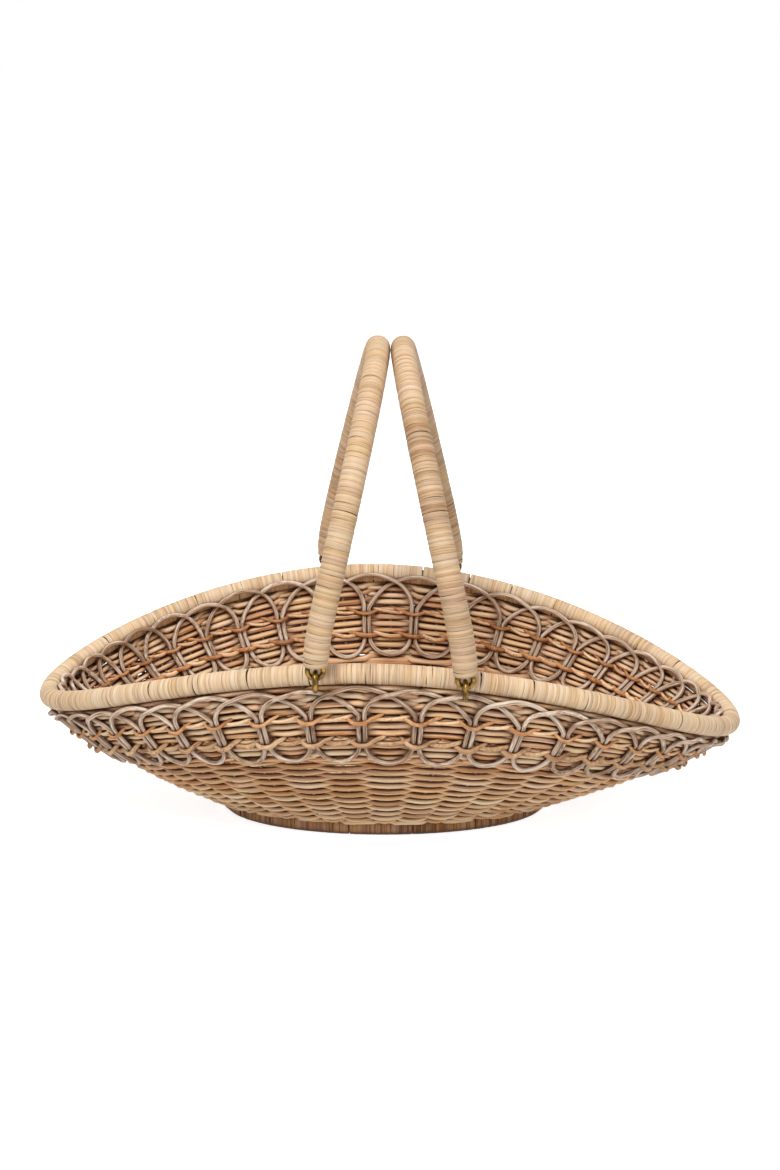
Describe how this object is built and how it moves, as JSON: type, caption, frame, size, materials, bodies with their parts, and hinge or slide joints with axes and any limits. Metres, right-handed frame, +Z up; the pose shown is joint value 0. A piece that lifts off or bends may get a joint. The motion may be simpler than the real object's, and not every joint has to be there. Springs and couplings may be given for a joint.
{
  "type": "gathering basket",
  "caption": "Long oval wicker gathering basket with a dipped bound rim, looped rod decoration, a wrapped oval foot and two hoop handles that swing on brass eyes.",
  "frame": {"origin": "on the floor under the middle of the rim, which is the bottom centre of the bounding box", "axes": "+X along the long way of the basket to the right, +Y away from the viewer, +Z up"},
  "size_m": [0.6092, 0.36, 0.4162],
  "materials": {
    "rim_peel": "pale split peel, satin",
    "handle_peel": "straw coloured split peel, satin",
    "foot_peel": "brown split peel, satin",
    "lower_weave": "brown willow rods, matt",
    "upper_weave": "light brown willow rods, matt",
    "loop_rod": "grey taupe willow rods, matt",
    "upper_twine": "reddish twisted fibre, matt",
    "lower_twine": "straw coloured twisted fibre, matt",
    "pole": "plain peeled wood, matt",
    "base_stick": "brown willow rods, matt",
    "brass": "aged olive brown brass wire"
  },
  "bodies": {
    "basket": {"base_weave": "lower_weave", "base_long_stick_1": "base_stick", "base_long_stick_2": "base_stick", "base_long_stick_3": "base_stick", "base_cross_stick_1": "base_stick", "base_cross_stick_2": "base_stick", "base_cross_stick_3": "base_stick", "base_cross_stick_4": "base_stick", "base_cross_stick_5": "base_stick", "base_cross_stick_6": "base_stick", "base_cross_stick_7": "base_stick", "base_cross_stick_8": "base_stick", "base_cross_stick_9": "base_stick", "foot_core": "pole", "foot_wrap": "foot_peel", "lower_wall": "lower_weave", "upper_wall": "upper_weave", "outer_loops": "loop_rod", "outer_upper_twine": "upper_twine", "outer_lower_twine": "lower_twine", "inner_loops": "loop_rod", "inner_upper_twine": "upper_twine", "inner_lower_twine": "lower_twine", "rim_core": "pole", "rim_wrap": "rim_peel", "rim_eye_front_left": "brass", "rim_eye_back_left": "brass", "rim_eye_front_right": "brass", "rim_eye_back_right": "brass"},
    "left_handle": {"left_handle_core": "pole", "left_handle_wrap": "handle_peel", "left_front_binding": "handle_peel", "left_back_binding": "handle_peel", "left_front_handle_eye": "brass", "left_back_handle_eye": "brass"},
    "right_handle": {"right_handle_core": "pole", "right_handle_wrap": "handle_peel", "right_front_binding": "handle_peel", "right_back_binding": "handle_peel", "right_front_handle_eye": "brass", "right_back_handle_eye": "brass"}
  },
  "joints": [
    {"name": "left_handle_swing", "type": "hinge", "parent": "basket", "child": "left_handle", "pos_m": [-0.059, 0, 0.17796], "axis": [0, -1, 0], "range_deg": [0, 110.5]},
    {"name": "right_handle_swing", "type": "hinge", "parent": "basket", "child": "right_handle", "pos_m": [0.059, 0, 0.17056], "axis": [0, 1, 0], "range_deg": [0, 114]}
  ]
}
